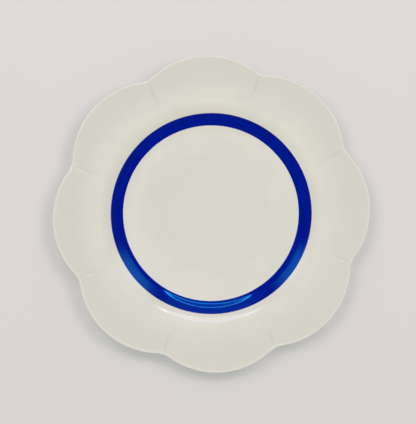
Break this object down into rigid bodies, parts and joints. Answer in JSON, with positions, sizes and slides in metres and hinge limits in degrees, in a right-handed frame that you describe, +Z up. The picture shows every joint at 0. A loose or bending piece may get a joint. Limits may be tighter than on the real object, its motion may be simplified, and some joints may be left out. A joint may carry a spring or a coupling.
{
  "type": "dessert plate",
  "caption": "White porcelain dessert plate with a scalloped rim of domed petals, a flat-floored well ringed by a plain cobalt-blue band on its cove, and a foot ring to stand on",
  "frame": {"origin": "middle of the foot ring's standing face, on the surface that the plate rests on", "axes": "+Z up, square to the plate and out of its face; X and Y each run through the tips of two opposite lobes"},
  "size_m": [0.22, 0.22, 0.0222],
  "materials": {
    "biscuit": "matt unglazed porcelain",
    "clear_glaze": "gloss clear glaze over white porcelain",
    "cobalt_glaze": "gloss cobalt blue sunk in the glaze"
  },
  "bodies": {
    "root": {"porcelain_body": "biscuit", "well_glaze": "clear_glaze", "cobalt_band": "cobalt_glaze", "rim_glaze": "clear_glaze", "base_glaze": "clear_glaze"}
  },
  "joints": []
}
